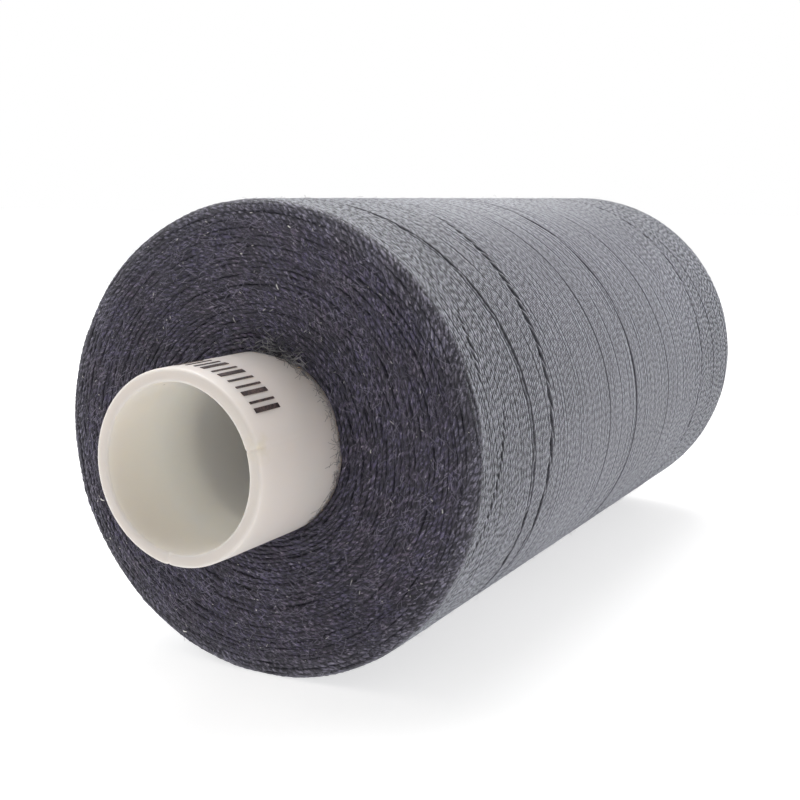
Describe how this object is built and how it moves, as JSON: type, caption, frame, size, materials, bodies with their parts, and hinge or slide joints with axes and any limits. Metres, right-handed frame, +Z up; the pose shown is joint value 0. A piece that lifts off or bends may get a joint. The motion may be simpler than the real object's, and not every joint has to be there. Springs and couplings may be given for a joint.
{
  "type": "thread spool",
  "caption": "Parallel-wound spool of sewing thread: dark polyester yarn on a white plastic tube that stands out past both flat ends and slips on a spool pin.",
  "frame": {"origin": "on the floor, under the middle of the spool, which lies on its side", "axes": "+Z up, the tube's axis along Y, the printed end towards -Y"},
  "size_m": [0.03, 0.075, 0.03],
  "materials": {
    "tube_plastic": "satin white injection-moulded plastic, faintly warm",
    "printing_ink": "thin dark brown-black ink",
    "thread_ends": "charcoal navy spun polyester yarn, end faces in fine rings",
    "thread_flank": "charcoal navy spun polyester yarn, soft sheen along the turns"
  },
  "bodies": {
    "root": {"core_tube": "tube_plastic", "print_marks": "printing_ink", "thread_early_layers": "thread_ends", "thread_late_layers": "thread_flank"}
  },
  "joints": []
}
